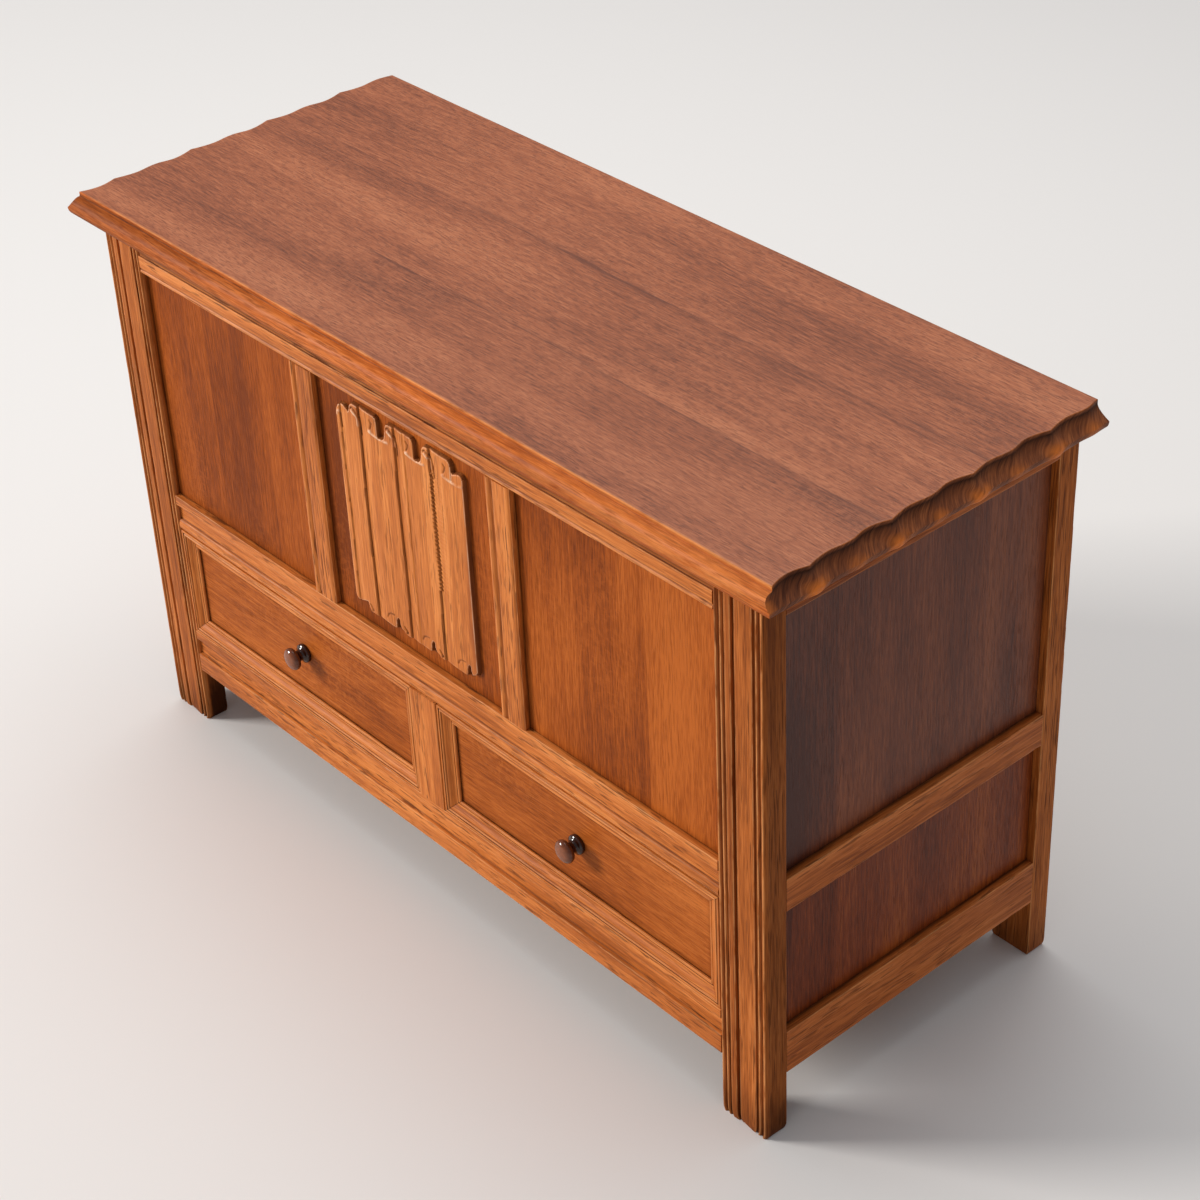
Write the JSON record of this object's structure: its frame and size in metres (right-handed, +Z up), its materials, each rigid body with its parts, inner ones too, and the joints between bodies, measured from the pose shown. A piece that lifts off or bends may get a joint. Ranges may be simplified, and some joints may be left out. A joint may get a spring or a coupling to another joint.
{
  "type": "mule chest",
  "caption": "Joined oak chest with a lifting lid over a deep compartment, framed panels, a linenfold carving on the front and drawers with round knobs below.",
  "frame": {"origin": "on the floor under the middle of the whole object's bounding box", "axes": "+X along the length, to the right seen from the front; the front faces -Y; +Z up"},
  "size_m": [1.0664, 0.435, 0.6638],
  "materials": {
    "lid_oak": "satin red-brown stain",
    "frame_oak": "satin golden oak",
    "panel_oak": "satin orange-brown oak",
    "carved_oak": "hand-carved, worn",
    "drawer_oak": "satin orange-brown oak",
    "moulding_oak": "satin golden oak",
    "inner_oak": "bare, unpolished",
    "knob_wood": "dark, polished",
    "hinge_iron": "dark iron"
  },
  "bodies": {
    "carcase": {"back_bottom_rail": "inner_oak", "back_leg_left": "frame_oak", "back_leg_right": "frame_oak", "back_mid_rail": "inner_oak", "back_panel": "inner_oak", "back_top_rail": "inner_oak", "chest_floor": "inner_oak", "drawer_muntin": "frame_oak", "drawer_runner_centre": "inner_oak", "drawer_runner_left": "inner_oak", "drawer_runner_right": "inner_oak", "end_bottom_rail_left": "frame_oak", "end_bottom_rail_right": "frame_oak", "end_lower_panel_left": "panel_oak", "end_lower_panel_right": "panel_oak", "end_mid_rail_left": "frame_oak", "end_mid_rail_right": "frame_oak", "end_top_rail_left": "frame_oak", "end_top_rail_right": "frame_oak", "end_upper_panel_left": "panel_oak", "end_upper_panel_right": "panel_oak", "front_bottom_rail": "frame_oak", "front_leg_left": "frame_oak", "front_leg_right": "frame_oak", "front_mid_rail": "frame_oak", "front_muntin_left": "frame_oak", "front_muntin_right": "frame_oak", "front_panel_centre": "panel_oak", "front_panel_left": "panel_oak", "front_panel_right": "panel_oak", "front_top_rail": "frame_oak", "hinge_carcase_leaf_left": "hinge_iron", "hinge_carcase_leaf_right": "hinge_iron", "hinge_pin_left": "hinge_iron", "hinge_pin_right": "hinge_iron", "linenfold_carving": "carved_oak"},
    "lid": {"hinge_lid_leaf_left": "hinge_iron", "hinge_lid_leaf_right": "hinge_iron", "lid_board": "lid_oak"},
    "drawer_left": {"drawer_left_back": "inner_oak", "drawer_left_bottom": "inner_oak", "drawer_left_front": "drawer_oak", "drawer_left_knob": "knob_wood", "drawer_left_moulding_bottom": "moulding_oak", "drawer_left_moulding_left": "moulding_oak", "drawer_left_moulding_right": "moulding_oak", "drawer_left_moulding_top": "moulding_oak", "drawer_left_side_left": "inner_oak", "drawer_left_side_right": "inner_oak"},
    "drawer_right": {"drawer_right_back": "inner_oak", "drawer_right_bottom": "inner_oak", "drawer_right_front": "drawer_oak", "drawer_right_knob": "knob_wood", "drawer_right_moulding_bottom": "moulding_oak", "drawer_right_moulding_left": "moulding_oak", "drawer_right_moulding_right": "moulding_oak", "drawer_right_moulding_top": "moulding_oak", "drawer_right_side_left": "inner_oak", "drawer_right_side_right": "inner_oak"}
  },
  "joints": [
    {"name": "lid_hinge", "type": "hinge", "parent": "carcase", "child": "lid", "pos_m": [0, 0.214, 0.63865], "axis": [-1, 0, 0], "range_deg": [0, 95]},
    {"name": "drawer_left_slide", "type": "slide", "parent": "carcase", "child": "drawer_left", "axis": [0, -1, 0], "range_m": [0, 0.26]},
    {"name": "drawer_right_slide", "type": "slide", "parent": "carcase", "child": "drawer_right", "axis": [0, -1, 0], "range_m": [0, 0.26]}
  ]
}
